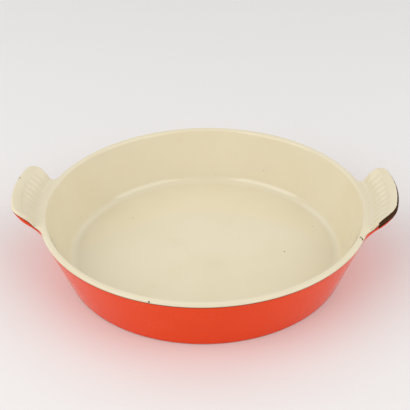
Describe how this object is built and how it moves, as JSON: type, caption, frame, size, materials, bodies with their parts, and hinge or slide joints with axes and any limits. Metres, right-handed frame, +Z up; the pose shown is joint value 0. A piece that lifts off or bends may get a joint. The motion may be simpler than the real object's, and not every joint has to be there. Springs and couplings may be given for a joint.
{
  "type": "gratin dish",
  "caption": "Round shallow gratin dish in enamelled cast iron, cream inside and orange outside, with rising shell ears at both ends.",
  "frame": {"origin": "middle of the dish on the plane it stands on", "axes": "+X runs along the two ears, +Y across the dish, +Z up out of its mouth"},
  "size_m": [0.278, 0.2392, 0.0601],
  "materials": {
    "iron": "bare dark cast iron, seen at chips and on the foot ring",
    "ground_enamel": "thin dark brown ground coat, satin",
    "cream_enamel": "glossy cream vitreous enamel",
    "orange_enamel": "glossy bright orange vitreous enamel with fine orange peel"
  },
  "bodies": {
    "root": {"iron_casting": "iron", "ground_coat": "ground_enamel", "cream_enamel": "cream_enamel", "orange_enamel": "orange_enamel", "base_enamel": "orange_enamel"}
  },
  "joints": []
}
